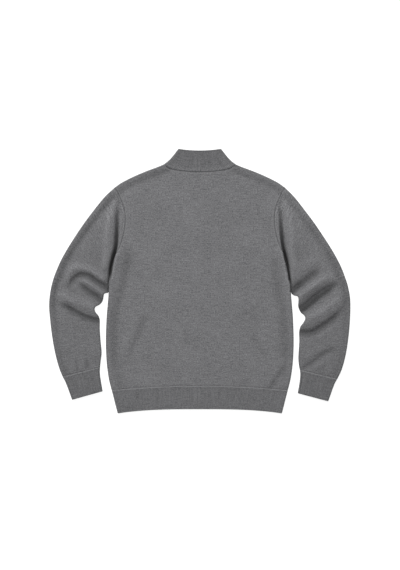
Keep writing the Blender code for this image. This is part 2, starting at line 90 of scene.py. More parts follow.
# Each row is one section from the armhole down: outer edge x and y, inner edge x and y.
SLEEVE_LEFT = by_body([
    (243.5, 269), (273, 241.5), (303.8, 203.6), (331, 167.4), (355.6, 131.2),
    (378, 95.6), (397.4, 61.4)]) + [
    (410, 33.2, 268.4, -34.4), (418, 12.4, 274.4, -37.2), (423.6, -6.4, 276.4, -47),
    (427.8, -25, 280.2, -59.4), (430.6, -44, 288.5, -68), (432, -62, 298.4, -73.6),
    (432, -79, 301.4, -81), (430.8, -96, 298, -90), (429, -113, 290.8, -98.8),
    (427.2, -131, 287.1, -112), (423.6, -158, 286.8, -140), (418.6, -188, 284.6, -171),
    (412, -219, 281.6, -204), (403.4, -249, 284.2, -228), (393.4, -274.4, 286.2, -246.8),
]
SLEEVE_RIGHT = by_body([
    (243.5, 269), (271.6, 241), (301, 203.6), (328.2, 167.4), (353, 131),
    (375.2, 96.6), (395.4, 61.4)]) + [
    (408.4, 34.4, 269, -40.6), (416.8, 11.6, 281.2, -44.6), (422.6, -5, 282.8, -58),
    (427.2, -24, 282.6, -73), (430.6, -43, 289.3, -89), (432, -62, 299.4, -98.4),
    (432, -82, 302.3, -107.1), (431.4, -101, 297, -119), (430.4, -119, 288.6, -131),
    (429, -138, 285.2, -147), (426.2, -164, 285.6, -172), (421.8, -195, 284, -198),
    (415.4, -226, 282.9, -222), (406.4, -256, 284.6, -241), (394.4, -281, 287, -254.4),
]
CUFF_LEFT = [
    SLEEVE_LEFT[-1], (386.6, -286.8, 286.8, -262), (380, -303, 284.6, -281), (373, -322, 281.4, -300),
    (366.4, -340.6, 278.7, -316),
]
CUFF_RIGHT = [
    SLEEVE_RIGHT[-1], (387.6, -293, 288.4, -268), (381.6, -308, 286.8, -287), (375, -327, 283.8, -306),
    (368.4, -344.8, 281, -321.6),
]

# %% Walls, gaps and how high the cloth lies
JERSEY_WALL, RIB_WALL, COLLAR_WALL = 1.8, 2.4, 2.8
SEAM_GAP, SIDE_CLEARANCE, FRONT_GAP = 0.02, 0.02, 0.4
BODY_HEIGHT, SLEEVE_HEIGHT, EDGE_HEIGHT = 7, 11, 10
EDGE_REACH, UNDERSIDE_LIFT = 14, 0.85
# Half height of an edge's upright facet, radius of the roll round it, least hollow between layers, and
# the rows of a sleeve's table that lie against the body.
FACET, HOLLOW, BY_BODY = 0.8, 1, slice(1, 7)
ROLL = EDGE_HEIGHT / 2 - FACET

# %% [markdown]
# ## Creases
#
# Knitted cloth creases softly: a fold has a round back, and a trough between two is narrower than
# either. They could be sculpted. Here each is a line on the cloth with a height and a width to each
# side, so a few points move it. It starts at the body or under the arm. Troughs are negative.

# %% Creases of the left sleeve
# Height, width to the left of the line's travel and to its right, points that it runs through. The
# first three climb beside the armhole, the last three are dents over the cuff, the others cross.
LEFT_CREASES = [
    (-3.9, 5, 6, [(262, -60), (252, 50), (241, 98), (237, 141), (234, 200), (228, 262)]),
    (-4.9, 5, 6, [(262, -60), (255, 30), (246.5, 70), (239, 105), (236, 150), (235, 216)]),
    (5.4, 15, 10, [(274, 20), (270, 70), (266, 120), (261, 166), (249, 210), (239, 262)]),
    (3.6, 11.5, 9.5, [(262, -4), (291, 18), (328, 36), (355, 37), (374, 26), (391, 4)]),
    (-7, 6.5, 9, [(250, -32), (266, -19), (283, -8), (302, 4), (318, 14), (340, 18), (357, 10),
     (369, -5), (376, -22), (378, -38)]),
    (4.4, 7, 7, [(258, -52), (284, -32), (302, -18), (320, -6), (334, 1), (350, 2)]),
    (-5.9, 6, 9, [(262, -69), (284, -54), (298, -42), (314, -33), (327, -22), (340, -12), (355, -3)]),
    (5, 15, 12, [(280, -93), (305, -80), (346, -63), (389, -47), (420, -34)]),
    (0.9, 4.5, 3.5, [(288, -66), (312, -58), (338, -49), (356, -40), (372, -29)]),
    (-7.1, 6.5, 10.5, [(276, -117), (295, -112), (320, -106), (340, -97), (356, -88), (376, -77),
     (396, -68), (424, -59)]),
    (0.5, 16, 26, [(280, -142), (320, -134), (364, -114), (410, -96)]),
    (-2.6, 4, 4, [(325, -268), (322, -242), (330, -216)]),
    (1.2, 7, 7, [(340, -262), (336, -242), (344, -214)]),
    (-1.6, 5, 5, [(352, -270), (350, -248), (357, -224)]),
]

# %% Creases of the right sleeve
RIGHT_CREASES = [
    (-3.4, 5, 6.5, [(260, -60), (250, 56), (243, 90), (237, 130), (232, 165), (227, 200), (220, 262)]),
    (-4.4, 5, 6, [(260, -60), (252, 40), (243, 84), (237, 112), (233, 141), (226, 206)]),
    (4.2, 9, 13, [(272, 20), (268, 70), (264, 125), (258, 170), (247, 210), (232, 262)]),
    (2.4, 22, 12, [(256, -4), (275, 18), (298, 38), (331, 58), (372, 76)]),
    (-5.4, 12, 9, [(246, -54), (268, -28), (284, -15), (307, 2), (325, 16), (340, 29), (357, 43)]),
    (-3, 7, 7, [(250, -52), (270, -28), (286, -14), (300, -4)]),
    (5.6, 9, 13, [(254, -69), (293, -39), (319, -19), (350, 2), (396, 27)]),
    (-9.8, 12, 9, [(276, -96), (287, -86), (303, -77), (320, -63), (336, -49), (354, -36), (376, -21),
     (394, -9), (408, 1)]),
    (-2, 8, 7, [(290, -86), (310, -71), (330, -55), (348, -42)]),
    (5.4, 13, 17, [(281, -123), (320, -104), (352, -85), (391, -55), (420, -31)]),
    (-6.4, 8.5, 12, [(278, -144), (300, -148), (324, -146), (347, -132), (369, -118), (390, -101),
     (407, -80), (424, -34)]),
    (0.9, 16, 26, [(276, -182), (330, -170), (376, -142), (420, -104)]),
    (1, 9, 9, [(296, -224), (322, -208), (350, -192), (384, -174)]),
    (-3.1, 7, 10, [(286, -260), (312, -242), (330, -229), (352, -212), (378, -197), (408, -182)]),
    (1.1, 14, 12, [(296, -270), (332, -248), (362, -228), (402, -202)]),
    (-1.2, 5, 7, [(308, -278), (342, -254), (376, -234)]),
]

# %% Creases of the body, left and right
BODY_LEFT_CREASES = [
    (-2.7, 13, 13, [(196, 110), (207, 56), (213, 25), (219, -8), (230, -45), (239, -80), (243, -120),
     (244, -160), (242, -210), (236, -290)]),
    (-1.6, 16, 12, [(222, -330), (232, -286), (240, -240), (246, -190), (248, -130)]),
    (-1.8, 9, 11, [(152, -90), (167, -133), (183, -171), (198, -209), (214, -262)]),
    (1, 10, 10, [(176, -90), (188, -125), (203, -163), (222, -214)]),
]
BODY_RIGHT_CREASES = [
    (-2.1, 13, 13, [(212, 80), (219, 20), (223, -10), (232, -50), (240, -90), (243, -140), (240, -200),
     (230, -300)]),
    (-1.3, 12, 16, [(244, -330), (248, -280), (250, -230), (252, -170), (252, -110)]),
    (-2.4, 6, 11, [(192, -324), (212, -291), (232, -263), (256, -226)]),
    (1.2, 9, 9, [(168, -146), (190, -187), (220, -234)]),
    (-0.9, 12, 9, [(150, -154), (174, -198), (202, -238)]),
]

# %% [markdown]
# ## From tables to lines
#
# One tool runs a smooth line through a table's rows. The other tells a grid's points how far they are
# from such a line, on which side, and how far along.

# %% A smooth line through a table
def line_through(table, per_row=8):
    """Cubic through the rows: between two of them a Hermite curve whose slope at a row is half the
    step from the row before it to the row after it."""
    table = np.asarray(table, dtype=float)
    slope = np.gradient(table, axis=0)
    at = np.linspace(0, len(table) - 1, (len(table) - 1) * per_row + 1)
    low = np.minimum(at.astype(int), len(table) - 2)
    t = (at - low)[:, None]
    start = table[low] * (1 + 2 * t) * (1 - t) ** 2 + slope[low] * t * (1 - t) ** 2
    end = table[low + 1] * t * t * (3 - 2 * t) + slope[low + 1] * t * t * (t - 1)
    return start + end


def measured(line):
    """Length along a line up to each of its points: the running sum of its steps."""
    return np.cumsum(np.linalg.norm(np.diff(line, axis=0, prepend=line[:1]), axis=1))


# %% Where a grid's points lie against a line
AT_EDGE = 0.6


def against_line(x, y, line):
    """Distance from each point to the line's nearest run, the direction towards it, the point's side
    (1 left of travel, -1 right) and the share of the runs passed. Closer than AT_EDGE counts as on
    the line, and the direction is then the left of travel."""
    run_x, run_y = np.diff(line, axis=0).T
    away_x, away_y = x[..., None] - line[:-1, 0], y[..., None] - line[:-1, 1]
    share = np.clip((away_x * run_x + away_y * run_y) / (run_x ** 2 + run_y ** 2), 0, 1)
    to_x, to_y = share * run_x - away_x, share * run_y - away_y
    best = np.hypot(to_x, to_y).argmin(axis=-1)
    to_x, to_y, share = (
        np.take_along_axis(a, best[..., None], -1)[..., 0] for a in (to_x, to_y, share))
    run_x, run_y, along = run_x[best], run_y[best], (best + share) / len(run_x)
    side = np.where(run_y * to_x - run_x * to_y >= 0, 1, -1)
    gap = np.hypot(to_x, to_y)
    to_x, to_y = np.where(gap < AT_EDGE, (-run_y, run_x), (to_x, to_y))
    length = np.hypot(to_x, to_y)
    return np.where(gap < AT_EDGE, 0, gap), to_x / length, to_y / length, side, along


# %% Bells and ramps
def bell(away, width):
    """exp(-(away / width)^2): 1 on a line, fading to both sides."""
    return np.exp(-(away / width) ** 2)


def ramp(value, start, end):
    """0 at start and 1 at end, straight between them and level beyond."""
    return np.clip((value - start) / (end - start), 0, 1)


def eased(share):
    """The share with a gentle start and end: 3 share^2 - 2 share^3."""
    return share * share * (3 - 2 * share)


# %% How high the creases stand
# Shares of its line over which a crease rises and fades, and the share of a swell's height that its
# painted highlight follows.
RISING, FADING, SWELL_SHADE = 0.1, 0.35, 0.4
GROOVE_AT, GROOVE_WIDTH, SWELL_AT, SWELL_WIDTH = 13, 8, 38, 13
GROOVE_SHIFT, ELBOW_Y, SHOULDER_Y = 6, -20, 200


def crease_heights(x, y, creases):
    """Sum of height * bell(distance, width of that side). Each crease rises over the share RISING of
    its line, and fades over FADING at its end."""
    total = np.zeros_like(x)
    for height, left_width, right_width, points in creases:
        gap, _, _, side, along = against_line(x, y, line_through(points, 6))
        ease = eased(np.minimum(ramp(along, 0, RISING), ramp(along, 1, 1 - FADING)))
        total += height * ease * bell(gap, np.where(side > 0, left_width, right_width))
    return total


def edge_wave(distance, depth, y):
    """The cloth springs back beside a fold: depth * (a quarter of the swell's bell - the groove's).
    The groove lies further in at the fuller shoulder than below the elbow."""
    groove = bell(distance - GROOVE_AT - GROOVE_SHIFT * ramp(y, ELBOW_Y, SHOULDER_Y), GROOVE_WIDTH)
    return depth * (bell(distance - SWELL_AT, SWELL_WIDTH) / 4 - groove)


def painted_crease_shade(creased):
    """The relief that the painted shade follows: all of a trough darkens, and SWELL_SHADE of a swell
    lightens as a painted highlight.
    """
    return np.where(creased > 0, SWELL_SHADE, 1) * creased


print("creases:", len(LEFT_CREASES), "left,", len(RIGHT_CREASES), "right")

# %% [markdown]
# ## Folded edges and seams as lines
#
# The outline is made of folds, where the cloth turns from the top layer to the bottom one, and of
# free rib edges. Every fold has the cloth on its right.

# %% Folds and seams
# The valley between body and sleeve starts below the underarm and climbs past it onto the sleeve.
VALLEY_LEFT = [
    (262.5, -36), (262, -12), (259, 2), (255.8, 20), (253, 40), (248.7, 60), (243.3, 80), (238.9, 100),
    (236.9, 130), (236.6, 160), (236, 190), (233, 216), (228, 246),
]
VALLEY_RIGHT = [
    (263, -36), (261.4, -14), (258, 0), (253.8, 20), (250, 40), (246.2, 60), (241.4, 80), (236.6, 100),
    (233.2, 130), (231.3, 160), (229.5, 190), (226, 216), (222, 246),
]
side_line, armhole_line = line_through(BODY_SIDE), line_through(ARMHOLE)
shoulder_line, collar_line, hem_line = (line_through(t) for t in (SHOULDER, COLLAR_SIDE, HEM_SIDE))


def bowed(middle, end, half, *powers):
    """Function of x for the height of an edge: from the middle to the end, as the mean of the powers
    of the way out to half."""
    def height(x):
        out = np.clip(np.abs(x) / half, 0, 1)
        return middle + (end - middle) * sum(out ** power for power in powers) / len(powers)

    return height


def outer_fold(sleeve, cuff):
    """From the neck point down the shoulder and the outer edge of sleeve and cuff."""
    sleeve_line, cuff_line = line_through(sleeve), line_through(cuff)
    return np.concatenate([shoulder_line[:0:-1, ::-1], sleeve_line[:, :2], cuff_line[1:, :2]])


def inner_fold(sleeve, cuff):
    """From the end of the cuff up the inner edge of the sleeve to the underarm."""
    inner = np.array([row[2:] for row in sleeve])
    inner[BY_BODY, 0] += SIDE_CLEARANCE
    return np.concatenate([line_through(inner), line_through(cuff)[1:, 2:]])[::-1]


hem_half = BODY_SIDE[0][1]
hem_seam = bowed(HEM_SEAM_MIDDLE, HEM_SEAM_SIDE, hem_half, 2)
neck_seams = [bowed(middle, NECK_POINT, NECK_HALF, 2, NECK_END_POWER)
              for middle in (BACK_NECK, FRONT_NECK)]
side_fold = np.concatenate([side_line[::-1, ::-1], hem_line[1:, ::-1]])
collar_fold = collar_line[::-1, ::-1]
valley_lines = {-1: line_through(VALLEY_LEFT), 1: line_through(VALLEY_RIGHT)}
seam_lines = {"armhole": armhole_line[:, ::-1]}
for name, half, seam, count in (("neck", NECK_HALF, neck_seams[0], 90), ("hem", hem_half, hem_seam, 60),
                                ("front_neck", NECK_HALF, neck_seams[1], 90)):
    across = np.linspace(-half, half, count)
    seam_lines[name] = np.stack([across, seam(across)], axis=1)
# Sign of x, outer fold, inner fold, sleeve, cuff, creases of the sleeve and of the body.
SIDES = {side: (sign, outer_fold(sleeve, cuff), inner_fold(sleeve, cuff), sleeve, cuff, creases, body)
         for side, sign, sleeve, cuff, creases, body in (
             ("left", -1, SLEEVE_LEFT, CUFF_LEFT, LEFT_CREASES, BODY_LEFT_CREASES),
             ("right", 1, SLEEVE_RIGHT, CUFF_RIGHT, RIGHT_CREASES, BODY_RIGHT_CREASES))}
print(f"side fold {measured(side_fold)[-1]:.0f} mm, armhole {measured(armhole_line)[-1]:.0f} mm")

# %% [markdown]
# ## Laying the cloth
#
# Two layers lie on each other, so a piece is known from its upper and lower height. Near a folded edge
# both bend into a half circle, with a short upright facet at its middle.

# %% Lay a grid of plan points
CORNER_REACH, CORNER_WALL = 7, 0.35


def lay(x, y, edges, base, relief=0, wall=JERSEY_WALL, sunk=0):
    """Upper and lower face over the plan points, with the way out, and the distance to an edge. The
    upper height is base, rising to the edge height as a bell, plus the relief. The lower one is a
    share of what the relief swells. Within a radius of an edge both follow a circle, with turn =
    1 - distance / radius: each leaves the middle by FACET plus the rest of its height * sqrt(1 -
    turn^2). The middle lies half way up, or the share sunk of the height lower."""
    found = np.array([against_line(np.abs(x), y, line)[:3] for line in edges])
    distance, toward_x, toward_y = np.choose(found[:, 0].argmin(axis=0), found)
    toward_x = toward_x * np.where(x < 0, -1, 1)
    upper = base + (EDGE_HEIGHT - base) * bell(distance, EDGE_REACH) + relief
    upper = np.maximum(upper, 2 * wall + HOLLOW)
    lower = np.minimum(UNDERSIDE_LIFT * np.clip(relief, 0, None), upper - 2 * wall - HOLLOW)
    middle, radius = lower + (0.5 - sunk) * (upper - lower), (upper - lower) / 2 - FACET
    turn = np.clip(1 - distance / radius, 0, 1)
    rise = np.sqrt(1 - turn ** 2)
    top = middle + FACET + (upper - middle - FACET) * rise
    bottom = middle - FACET - (middle - FACET - lower) * rise
    thin = wall_share(x, y)
    level_x, level_y, up = turn * toward_x * thin, turn * toward_y * thin, rise * thin
    over, under = (np.dstack([x, y, z, level_x, level_y, out]) for z, out in ((top, up), (bottom, -up)))
    return over, under, distance


def wall_share(x, y):
    """Share of the full wall, thinner within CORNER_REACH of the underarm and of the neck point."""
    away = np.min([np.hypot(np.abs(x) - out, y - high) for high, out in (ARMHOLE[0], SHOULDER[-1])], 0)
    return np.clip(away / CORNER_REACH, CORNER_WALL, 1)


# %% Gentle unevenness
# Radians for each millimetre along x and y, and at the middle.
WAVES = [(0.031, 0.017, 0.4), (-0.023, 0.036, 2.1), (0.052, -0.041, 4), (0.009, 0.068, 5.2)]
JERSEY_UNEVEN, RIB_UNEVEN = 0.5, 0.25


def unevenness(x, y, depth):
    """Slow crossing waves, so that no cloth is dead flat: depth / 2 * sum of sin(a x + b y + c)."""
    return depth * sum(np.sin(a * x + b * y + c) for a, b, c in WAVES) / 2


# %% [markdown]
# ## From a grid to a cloth shell
#
# Solidify would give the wall, but its even offset tears at the underarm, where two folds meet. Each
# grid knows the way out of the cloth, so the inner face is the outer one moved in. The wall narrows to
# a round lip at every rim, as a knitted edge does.

# %% Spacing that is closer at the rims
# Millimetres from a rim. Then shares of the roll's radius: a quarter turn, and the columns at a fold
# and at a seam.
RIM_STEPS = np.array([0, 0.15, 0.5, 1.1, 2, 3.2])
ARC = 1 - np.cos(np.radians(np.arange(0, 91, 15)))
FOLD_COLUMNS = np.concatenate([[0], ARC])
SEAM_COLUMNS = np.array([0, 0.04, 0.12, 0.26, 0.42, 0.6, 0.8, 1])


def spaced(length, step, end=True):
    """Places from 0 to the length, a step apart, with the rim steps at the start and at a rim end."""
    tail = length - RIM_STEPS[:None if end else 1]
    count = max(2, round((tail[-1] - RIM_STEPS[-1]) / step) + 1)
    return np.concatenate([RIM_STEPS[:-1], np.linspace(RIM_STEPS[-1], tail[-1], count), tail[-2::-1]])


def from_rims(points, closed):
    """Way over the surface to the nearest rim: the running sum of the steps along a point's row or
    column, from the closer end."""
    best = np.full(points.shape[:2], np.inf)
    for axis in (0,) if closed else (0, 1):
        steps = np.diff(points, axis=axis, prepend=np.take(points, [0], axis))
        gone = np.cumsum(np.linalg.norm(steps, axis=-1), axis=axis)
        best = np.minimum(best, np.minimum(gone, np.take(gone, [-1], axis) - gone))
    return best


# %% Build the shell
LIP = 0.25


def placed(name, data):
    """New object with a mesh, light or camera, at the origin."""
    made = bpy.data.objects.new(name, data)
    bpy.context.scene.collection.objects.link(made)
    return made


def add_shell(name, grid, wall, knit, notes, closed=False, flipped=False):
    """Object from a grid of points and ways out. The outer face is point - out * wall * (1 - full) / 2
    and the inner one has 1 + full, where full grows from LIP at a rim to 1 as a quarter circle. The UV
    map is the knit's wales and courses, in metres."""
    rows, columns = grid.shape[:2]
    points, out = grid[..., :3], grid[..., 3:] * wall / 2
    rim = np.clip(1 - from_rims(points, closed) / (wall / 2), 0, 1)
    full = (LIP + (1 - LIP) * np.sqrt(1 - rim ** 2))[..., None]
    outer, inner = points - out * (1 - full), points - out * (1 + full)
    count = rows * columns
    number = np.arange(count).reshape(rows, columns)
    if closed:
        number = np.hstack([number, number[:, :1]])
    sheet = np.stack([number[:-1, :-1], number[:-1, 1:], number[1:, 1:], number[1:, :-1]], axis=-1)
    sheet = sheet.reshape(-1, 4)
    rims = [number[0, ::-1], number[-1]]
    if not closed:
        rims += [number[:, 0], number[::-1, -1]]
    strips = [np.stack([r[:-1], r[1:], r[1:] + count, r[:-1] + count], axis=-1) for r in rims]
    faces = np.concatenate([sheet, sheet[:, ::-1] + count, *strips])
    if flipped:
        faces = faces[:, ::-1]
    mesh = bpy.data.meshes.new(name)
    mesh.vertices.add(2 * count)
    mesh.vertices.foreach_set("co", np.concatenate([outer, inner]).reshape(-1) * MM)
    mesh.loops.add(faces.size)
    mesh.loops.foreach_set("vertex_index", faces.reshape(-1))
    mesh.polygons.add(len(faces))
    mesh.polygons.foreach_set("loop_start", np.arange(0, faces.size, 4))
    mesh.update(calc_edges=True)
    mesh.uv_layers.new(name="knit").data.foreach_set(
        "uv", (np.concatenate([knit.reshape(-1, 2)] * 2)[faces.reshape(-1)] * MM).reshape(-1))
    for note, values in notes.items():
        values = np.broadcast_to(values, (rows, columns)).reshape(-1)
        mesh.attributes.new(note, "FLOAT", "POINT").data.foreach_set(
            "value", np.concatenate([values, values]))
    mesh.shade_smooth()
    print(f"{name}: {rows} x {columns} grid, {2 * len(faces)} triangles")
    return placed(name, mesh)

# %% [markdown]
# ## Back and fronts
#
# A body panel is one grid: rows climb from the hem seam to the shoulder, columns run from the side to
# the centre line. Rows stay level, as knitted courses do, and only bend up towards the neck above the
# underarm. The back is the top layer.

# %% Plan of half a body panel
# First column as a share of the half width, widths that the columns divide, steps beside the neck.
FIRST_COLUMN, SHOULDER_SPAN, NECK_SPAN, NECK_STEPS = 0.97, 150, 100, (0.1, 0.25, 0.5, 0.8)


def half_panel_plan(neck_seam, step):
    """x and y of half a panel. The edge column follows the side, then the armhole. The others keep
    their share of its x, and their y adds what the hem seam and the top edge rise above it."""
    (low_y, _), (arm_y, _), (top_y, top_x) = BODY_SIDE[0], ARMHOLE[0], ARMHOLE[-1]
    run = np.subtract(ARMHOLE[-1], ARMHOLE[-2])
    climb = ROLL * run[0] / np.hypot(*run)
    low = low_y + spaced(arm_y - low_y, step, end=False)
    high = np.linspace(arm_y, top_y - climb, round((top_y - climb - arm_y) / step))
    edge_y = np.concatenate([low, high[1:-1], top_y - climb * FOLD_COLUMNS[::-1]])
    below = edge_y <= arm_y
    edge_x = np.where(below, np.interp(edge_y, *side_line.T), np.interp(edge_y, *armhole_line.T))
    insets = ROLL * np.where(below[:, None], FOLD_COLUMNS, SEAM_COLUMNS)
    neck_share = NECK_HALF / top_x
    outside = np.linspace(FIRST_COLUMN, neck_share, round(SHOULDER_SPAN / step))
    steps = np.ones(round(NECK_SPAN / step))
    steps[:len(NECK_STEPS)] = NECK_STEPS
    inside = neck_share * (1 - np.cumsum(steps / (steps.sum() + 0.5)))
    x = np.hstack([edge_x[:, None] - insets, edge_x[:, None] * np.concatenate([outside, inside])])
    in_neck = x[-1] < NECK_HALF - 0.1
    shoulder_y = np.interp(x[-1], *shoulder_line[::-1, ::-1].T)
    top_edge = np.where(in_neck, neck_seam(x[-1]), shoulder_y)
    bottom_edge = hem_seam(x[0])
    up = ramp(edge_y, edge_y[0], edge_y[-1])[:, None]
    above = ramp(edge_y, arm_y, edge_y[-1])[:, None]
    y = edge_y[:, None] + (1 - up) * (bottom_edge - bottom_edge[0]) + above * (top_edge - top_edge[0])
    y[-len(SEAM_COLUMNS):, in_neck] = (top_edge - ROLL * SEAM_COLUMNS[::-1, None])[:, in_neck]
    return x, y, below, in_neck


# %% The valley between body and sleeve
# Painted shade in the valley between body and sleeve, and a painted highlight on the rim beside it. For
# each side the shade at the underarm and the share of the valley where it sets in, and how fast. Then
# its strength, its width towards body and sleeve, and the place and width of the rim.
VALLEY_START, VALLEY_RISE = {-1: (0.04, 0.15), 1: (0.3, 0.11)}, 9
VALLEY_DEPTH, BODY_WIDTH, SLEEVE_WIDTH, RIM_AT, RIM_WIDTH = 2.4, 2.4, 5.2, 6.5, 3.6


def valley_bells(x, y, sign):
    """Two bells along one valley. The painted shade is VALLEY_DEPTH * bell(distance, width), cut off at
    1, and widens over the first third. The rim, a painted highlight, is a bell beside it, on the body
    alone. Both start weak at the underarm and fade over the upper half."""
    gap, _, _, left, along = against_line(x, y, valley_lines[sign])
    start, onset = VALLEY_START[sign]
    strength = np.clip(start + VALLEY_RISE * (along - onset), start, 1) * ramp(along, 1, 0.5)
    width = np.where(left > 0, BODY_WIDTH, SLEEVE_WIDTH) * np.clip(0.3 + 2 * along, 0, 1)
    shade = np.minimum(VALLEY_DEPTH * bell(gap, width), 1)
    rim = np.where(left > 0, bell(gap - RIM_AT, RIM_WIDTH), 0)
    return shade * strength, rim * strength


# %% The panels
# Points of the outer fold down to the elbow, depth of its groove, how much of it the painted shade
# adds.
TO_ELBOW, BODY_GROOVE, BODY_GROOVE_SHADE = 70, 0.8, 2
# Strength of the painted highlight on the body's edge beside the valley, for each side, then of the
# painted darkening below the neck seam, and its reach.
PAINTED_RIM_HIGHLIGHT, NECK_SHADE, NECK_REACH = {-1: 3, 1: 1.6}, 0.45, 35
# Share of its height that the fold sinks beside the sleeve, and where it starts and ends along y.
SUNK, SUNK_START, SUNK_END = 0.25, (-60, -15), (200, 140)


def seam_note(x, y, names):
    """Plan distance to the nearest of the named seams."""
    return np.min([against_line(x, y, seam_lines[name])[0] for name in names], axis=0)


def body_panel(neck, upper, step):
    """Half a panel laid, for each side, its folds' rim at half height, and the share SUNK lower beside
    the sleeve's thin edge."""
    x, y, below, in_neck = half_panel_plan(neck_seams[0 if upper else 1], step)
    sunk = SUNK * ramp(y, *SUNK_START) * ramp(y, *SUNK_END)
    halves = []
    for sign, outer, _, _, _, _, creases in SIDES.values():
        outer = outer[:TO_ELBOW]
        wave = edge_wave(against_line(x, y, outer)[0], BODY_GROOVE, y) * upper
        creased = crease_heights(x, y, creases) * upper + wave
        relief = creased + unevenness(sign * x, y, JERSEY_UNEVEN) * upper
        # The relief note carries painted shade: darker in troughs and in the groove inside the fold,
        # darker below the neck seam, and a painted highlight on swells and on the rim beside the
        # valley. The valley note is the painted shade in the valley.
        valley, rim = (shown * below[:, None] * upper for shown in valley_bells(x, y, sign))
        painted_shade = painted_crease_shade(creased + BODY_GROOVE_SHADE * wave) + PAINTED_RIM_HIGHLIGHT[sign] * rim
        painted_shade -= NECK_SHADE * bell(seam_note(x, y, [neck]), NECK_REACH)
        over, under, fold = lay(sign * x, y, [outer, side_fold], BODY_HEIGHT, relief, sunk=sunk)
        grid = over if upper else under
        middle = EDGE_HEIGHT / 2 + (SEAM_GAP / 2 if upper else -SEAM_GAP / 2)
        grid[below, 0, 2] = middle - EDGE_HEIGHT * sunk[below, 0]
        grid[-1, ~in_neck, 2] = middle
        notes = {"seam": seam_note(x, y, [neck, "armhole"]), "link": seam_note(x, y, ["hem"]),
                 "fold": fold, "relief": painted_shade, "valley": valley}
        halves.append((grid, notes))
    return halves


def joined(halves):
    """Both halves as one grid, its columns from the left side to the right one."""
    (left, left_notes), (right, right_notes) = halves
    notes = {k: np.hstack([left_notes[k], right_notes[k][:, ::-1]]) for k in left_notes}
    return np.hstack([left, right[:, ::-1]]), notes


# %% Build the body
back_grid, back_notes = joined(body_panel("neck", upper=True, step=4))
cloth = {"back": add_shell("back_cloth", back_grid, JERSEY_WALL, back_grid[..., :2], back_notes)}
for side, (grid, notes) in zip(SIDES, body_panel("front_neck", upper=False, step=8)):
    centre = grid[:, -1:].copy()
    centre[:, :, 0] = SIDES[side][0] * FRONT_GAP / 2
    grid = np.hstack([grid, centre])
    notes = {k: np.hstack([v, v[:, -1:]]) for k, v in notes.items()}
    cloth["front_" + side] = add_shell(
        f"front_{side}_cloth", grid, JERSEY_WALL, grid[..., :2], notes, flipped=side == "left")

# %% [markdown]
# ## Sleeves and cuffs
#
# A sleeve is a tube pressed flat, so its grid is a ring: over the top from the outer fold to the inner
# one, and back underneath. Its sections lean as it bends, and its wales run along the middle line, so
# the UV map counts across from that line and along it.

# %% Rings of a flattened tube
TUBE_EDGE, TUBE_COLUMNS = 0.04, 46
# Distance to a seam that a piece hasn't got.
FAR_AWAY = 99


def ring_plan(line, step):
    """Sections a step apart along the middle line: x and y are the outer edge plus a share of the way
    to the inner one, closer within a roll's radius of both. Then the shares, the UV, and each
    section's way from the start and to the end."""
    outer, inner = line[:, :2], line[:, 2:]
    length = measured((outer + inner) / 2)
    at = spaced(length[-1], step)
    outer, inner = (np.stack([np.interp(at, length, edge[:, k]) for k in (0, 1)], axis=1)
                    for edge in (outer, inner))
    run = inner - outer
    width = np.hypot(run[:, 0], run[:, 1])[:, None]
    roll = ROLL * ARC / width
    between = np.linspace(TUBE_EDGE, 1 - TUBE_EDGE, TUBE_COLUMNS) + np.zeros_like(width)
    share = np.hstack([roll, between, 1 - roll[:, ::-1]])
    x, y = (outer[:, k, None] + share * run[:, k, None] for k in (0, 1))
    knit = np.stack([(share - 0.5) * width, at[:, None] + 0 * share], axis=-1)
    return x, y, share, knit, at[:, None], length[-1] - at[:, None]


def add_tube(name, over, under, wall, knit, notes, flipped):
    """A tube's shell. A ring is a section's upper points, then its lower ones backwards."""
    def ring(upper, lower):
        return np.concatenate([upper, lower[:, ::-1]], axis=1)

    notes = {k: np.broadcast_to(v, over.shape[:2]) for k, v in notes.items()}
    notes = {k: ring(v, v) for k, v in notes.items()}
    return add_shell(name, ring(over, under), wall, ring(knit, knit), notes, True, flipped)


# %% A sleeve
# Lengths over which the armhole's curve fades, the creases ease in and out, and the sleeve fills.
ARM_REACH, EASE_IN, EASE_OUT, FULL_AFTER = 105, 16, 12, 60
# The outer fold's groove by the cuff and above the elbow, and how much of it the painted shade adds.
SLEEVE_GROOVE, SLEEVE_GROOVE_SHADE = {"left": (0.5, 1.4), "right": (0.25, 0.75)}, 2.4
FOREARM_Y, UPPER_ARM_Y = -110, 40
# Painted shade over the sleeve, growing over its first FULL_AFTER millimetres, and more towards and
# below the elbow; the cuffs a little darker on the same scale.
SLEEVE_SHADE, FOREARM_SHADE, CUFF_SHADE = 0.7, 0.55, -0.3
SLEEVE_STEP, CUFF_STEP = 2.4, 3.2


